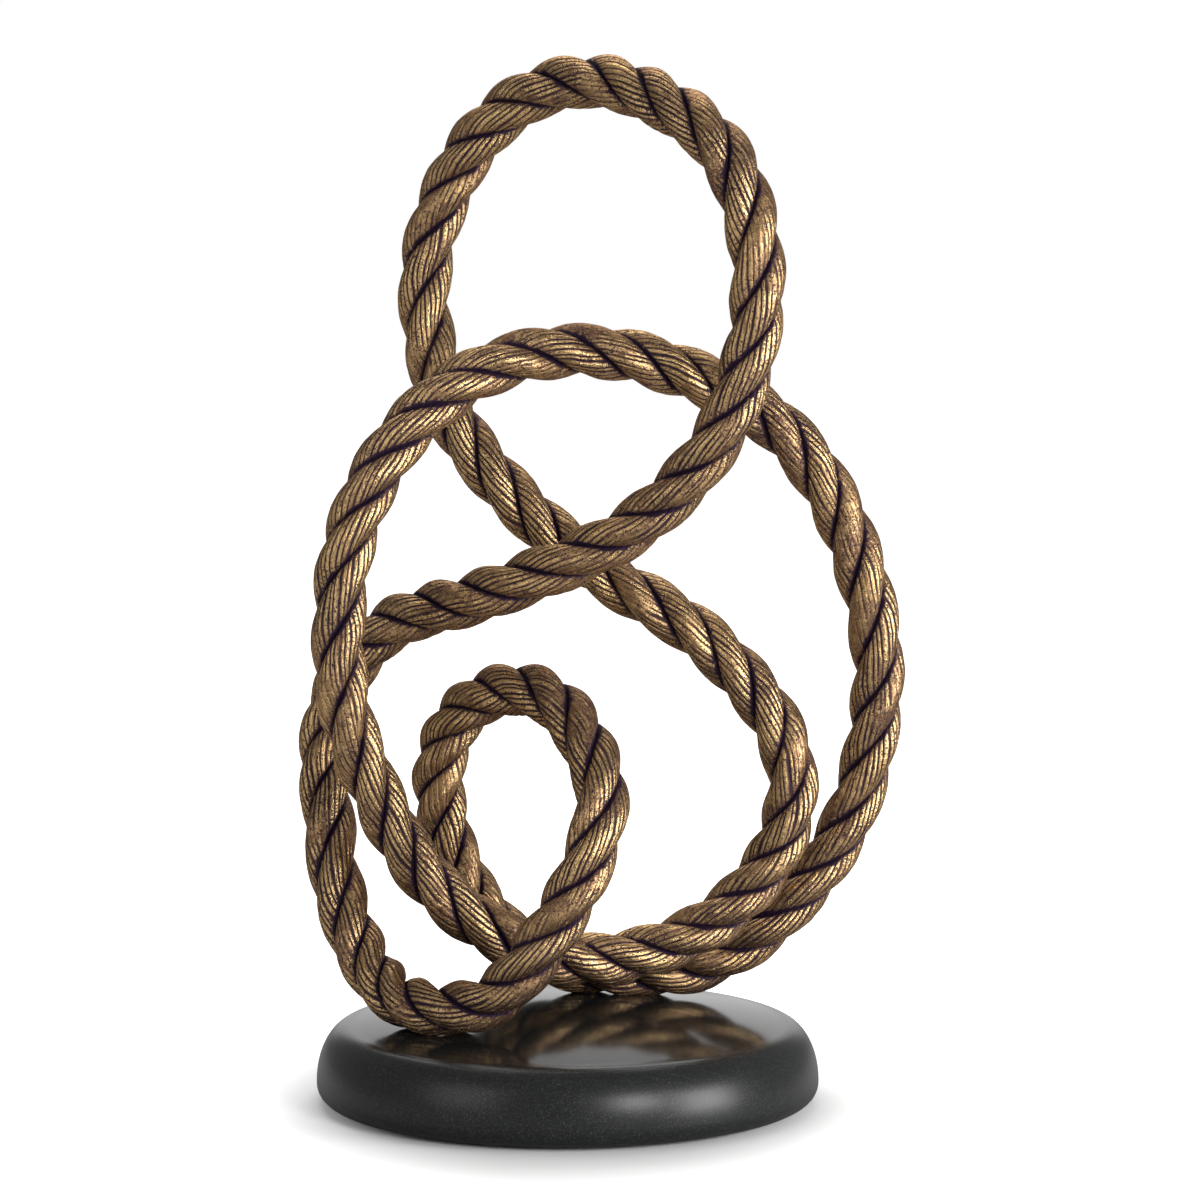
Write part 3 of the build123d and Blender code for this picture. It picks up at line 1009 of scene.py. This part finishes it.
def stone_outline(settings):
    """Half section of the disc, from the middle of the top round to the middle underneath."""
    radius = settings.diameter / 2
    rim_radius = radius - settings.top_edge_width
    flat_bottom = radius - settings.bottom_edge_round
    wall_top = settings.rim - settings.top_edge_height
    wall_bottom = settings.underside + settings.bottom_edge_round
    outline = []
    for out in np.linspace(0.0, rim_radius, TOP_STEPS, endpoint=False):
        outline.append((out, top_height(settings, out)))
    for turn in np.linspace(math.pi / 2, 0, UPPER_EDGE_STEPS):
        outline.append((
            rim_radius + settings.top_edge_width * math.cos(turn),
            wall_top + settings.top_edge_height * math.sin(turn),
        ))
    for turn in np.linspace(0, -math.pi / 2, LOWER_EDGE_STEPS):
        outline.append((
            flat_bottom + settings.bottom_edge_round * math.cos(turn),
            wall_bottom + settings.bottom_edge_round * math.sin(turn),
        ))
    outline.append((flat_bottom / 2, settings.underside))
    outline.append((0.0, settings.underside))
    return outline


def turned_mesh(name, outline, facets):
    """Closed mesh of an outline turned round the Z axis, poles at both ends."""
    points = [(0.0, 0.0, outline[0][1])]
    rings = outline[1:-1]
    for radius, height in rings:
        for facet in range(facets):
            turn = 2 * math.pi * facet / facets
            points.append((radius * math.cos(turn), radius * math.sin(turn), height))
    points.append((0.0, 0.0, outline[-1][1]))
    faces = []
    for facet in range(facets):
        following = (facet + 1) % facets
        faces.append((0, 1 + facet, 1 + following))
        for ring in range(len(rings) - 1):
            upper = 1 + ring * facets
            lower = upper + facets
            faces.append((upper + facet, lower + facet, lower + following, upper + following))
        bottom = 1 + (len(rings) - 1) * facets
        faces.append((bottom + facet, len(points) - 1, bottom + following))
    mesh = bpy.data.meshes.new(name)
    mesh.from_pydata(points, [], faces)
    mesh.shade_smooth()
    return mesh


class KNOT_OT_stone_base(bpy.types.Operator):
    """Turn the polished stone disc"""

    bl_idname = "knot.stone_base"
    bl_label = "Stone disc"

    def execute(self, context):
        settings = context.scene.knot_stone
        mesh = turned_mesh("polished_disc", stone_outline(settings), settings.facets)
        mesh.materials.append(black_granite(settings))
        piece = shown("polished_disc", mesh)
        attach(piece, "root")
        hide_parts("stone_base")
        return {"FINISHED"}


class KNOT_OT_felt_pad(bpy.types.Operator):
    """Give the felt pad its wool"""

    bl_idname = "knot.felt_pad"
    bl_label = "Felt pad"

    def execute(self, context):
        dress("felt_pad", wool_felt())
        return {"FINISHED"}


class KNOT_OT_steel_parts(bpy.types.Operator):
    """Plate the bolts, the washers and the joint pins"""

    bl_idname = "knot.steel_parts"
    bl_label = "Bolts, washers and pins"

    def execute(self, context):
        steel = plated_steel()
        for node in ("foot_bolts", "foot_washers", "joint_pins"):
            dress(node, steel)
        return {"FINISHED"}


FLOOR_WHITE = (0.86, 0.86, 0.86)
FLOOR_PALER = (0.88, 0.88, 0.88)
FLOOR_MIRRORED = (0.30, 0.30, 0.30)
# Where the floor's glow begins and is full, in metres from the axis, with X stretched; inside that
# ring the glow is missing, which paints a shade round the disc, longer in front than at the sides,
# over the lamps' own shadow
GLOW_RANGE = (0.115, 0.25)
GLOW_STRETCH = 1.35
# How much of that glow a polished face mirrors
GLOW_MIRRORED = 0.3


def white_floor():
    """Floor that the camera sees as white, and that keeps the shadow, with painted shade where its
    glow fades out round the disc.
    """
    material, s, shader = new_material("White floor")
    place = object_place(s)
    path = s.node("ShaderNodeLightPath").outputs
    white = s.mix(s.noise(place, 3.0), FLOOR_WHITE, FLOOR_PALER)
    white = s.mix(path["Is Camera Ray"], white, FLOOR_WHITE)
    white = s.mix(path["Is Glossy Ray"], white, FLOOR_MIRRORED)
    s.feed(shader.inputs["Base Color"], white)
    shader.inputs["Roughness"].default_value = 0.9
    shader.inputs["Specular IOR Level"].default_value = 0.0
    seen = s.most(path["Is Camera Ray"], s.times(path["Is Glossy Ray"], GLOW_MIRRORED))
    far = s.ramp(from_axis(s, place, GLOW_STRETCH), *GLOW_RANGE)
    glow = s.node("ShaderNodeEmission", Strength=s.times(seen, far))
    both = s.node("ShaderNodeAddShader")
    s.feed(both.inputs[0], shader.outputs[0])
    s.feed(both.inputs[1], glow.outputs[0])
    s.feed(material.node_tree.nodes["Material Output"].inputs["Surface"], both.outputs[0])
    return material


# The white backdrop that polished faces mirror: direction to its middle, behind the sculpture
# and a little above the floor, and where its edge fades, as cosines from that direction
BACKDROP_HEIGHT = math.radians(11)
BACKDROP = (0.0, math.cos(BACKDROP_HEIGHT), math.sin(BACKDROP_HEIGHT))
BACKDROP_RANGE = (0.90, 0.97)


def white_world(ambient, gloss):
    """World that the camera sees as white, with the backdrop for polished faces to mirror."""
    world = bpy.data.worlds.new("White room")
    world.use_nodes = True
    s = Sketch(world.node_tree)
    background = world.node_tree.nodes["Background"].inputs
    path = s.node("ShaderNodeLightPath").outputs
    toward = s.node("ShaderNodeTexCoord").outputs["Generated"]
    backdrop = s.ramp(s.vector("DOT_PRODUCT", toward, BACKDROP), *BACKDROP_RANGE)
    seen = s.most(path["Is Camera Ray"], path["Is Transmission Ray"])
    mirrored = s.between(path["Is Glossy Ray"], ambient, s.between(backdrop, gloss, 1.0))
    s.feed(background["Strength"], s.between(seen, mirrored, 1.0))
    background["Color"].default_value = (1, 1, 1, 1)
    return world


# Lamps: name, place in metres, width and height in metres, power in watts
LAMPS = (
    ("key_softbox", (1.9, -0.9, 0.45), 0.9, 0.9, 37.0),
    ("front_softbox", (1.2, -1.95, 0.8), 0.7, 0.7, 28.0),
    ("fill_softbox", (-1.6, -1.4, 0.9), 1.2, 1.2, 8.0),
    ("top_softbox", (-0.1, 1.1, 2.0), 1.8, 1.8, 24.0),
)
SENSOR_WIDTH = 36.0


def lamp(name, place, width, height, power):
    """A softbox aimed at the middle of the knot."""
    light = bpy.data.lights.new(name, "AREA")
    light.shape = "RECTANGLE"
    light.size = width
    light.size_y = height
    light.energy = power
    holder = bpy.data.objects.new(name, light)
    bpy.context.scene.collection.objects.link(holder)
    holder.location = place
    low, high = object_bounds()
    aim = holder.location.copy()
    aim.z -= (low[2] + high[2]) / 2
    holder.rotation_euler = aim.to_track_quat("Z", "Y").to_euler()


class KNOT_OT_stage(bpy.types.Operator):
    """Set the floor, the lamps and the camera"""

    bl_idname = "knot.stage"
    bl_label = "Stage"

    def execute(self, context):
        settings = context.scene.knot_stage
        half = settings.floor_size / 2
        corners = [(-half, -half, 0), (half, -half, 0), (half, half, 0), (-half, half, 0)]
        mesh = bpy.data.meshes.new("floor")
        mesh.from_pydata(corners, [], [(0, 1, 2, 3)])
        mesh.materials.append(white_floor())
        shown("floor", mesh)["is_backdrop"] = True
        context.scene.world = white_world(settings.ambient, settings.gloss)
        for name, place, width, height, power in LAMPS:
            lamp(name, place, width, height, power)
        camera = bpy.data.cameras.new("camera")
        camera.lens = settings.lens
        camera.sensor_width = SENSOR_WIDTH
        holder = bpy.data.objects.new("camera", camera)
        context.scene.collection.objects.link(holder)
        holder.location = (
            settings.camera_across, -settings.camera_distance, settings.camera_height
        )
        holder.rotation_euler = (math.pi / 2 - settings.camera_down, 0, 0)
        context.scene.camera = holder
        context.scene.view_settings.view_transform = "Standard"
        return {"FINISHED"}


class KNOT_PT_sidebar(bpy.types.Panel):
    """Buttons for the sculpture's pieces"""

    bl_idname = "KNOT_PT_sidebar"
    bl_label = "Knot sculpture"
    bl_space_type = "VIEW_3D"
    bl_region_type = "UI"
    bl_category = "Knot sculpture"

    def draw(self, context):
        for operator in OPERATORS:
            self.layout.operator(operator.bl_idname)
        for name in SETTINGS:
            group = getattr(context.scene, name)
            box = self.layout.box()
            for key in group.__annotations__:
                box.prop(group, key)


OPERATORS = (
    KNOT_OT_rope_castings, KNOT_OT_stone_base, KNOT_OT_felt_pad, KNOT_OT_steel_parts, KNOT_OT_stage
)
SETTINGS = {
    "knot_rope": RopeSettings, "knot_stone": StoneSettings, "knot_stage": StageSettings
}


def register():
    """Add the settings, operators and panel."""
    for name, group in SETTINGS.items():
        bpy.utils.register_class(group)
        setattr(bpy.types.Scene, name, bpy.props.PointerProperty(type=group))
    for operator in OPERATORS:
        bpy.utils.register_class(operator)
    bpy.utils.register_class(KNOT_PT_sidebar)


def unregister():
    """Take them away again."""
    bpy.utils.unregister_class(KNOT_PT_sidebar)
    for operator in reversed(OPERATORS):
        bpy.utils.unregister_class(operator)
    for name, group in SETTINGS.items():
        delattr(bpy.types.Scene, name)
        bpy.utils.unregister_class(group)


def main():
    """Build every piece in order."""
    register()
    bpy.ops.knot.rope_castings()
    bpy.ops.knot.stone_base()
    bpy.ops.knot.felt_pad()
    bpy.ops.knot.steel_parts()
    bpy.ops.knot.stage()


if __name__ == "__main__":
    main()
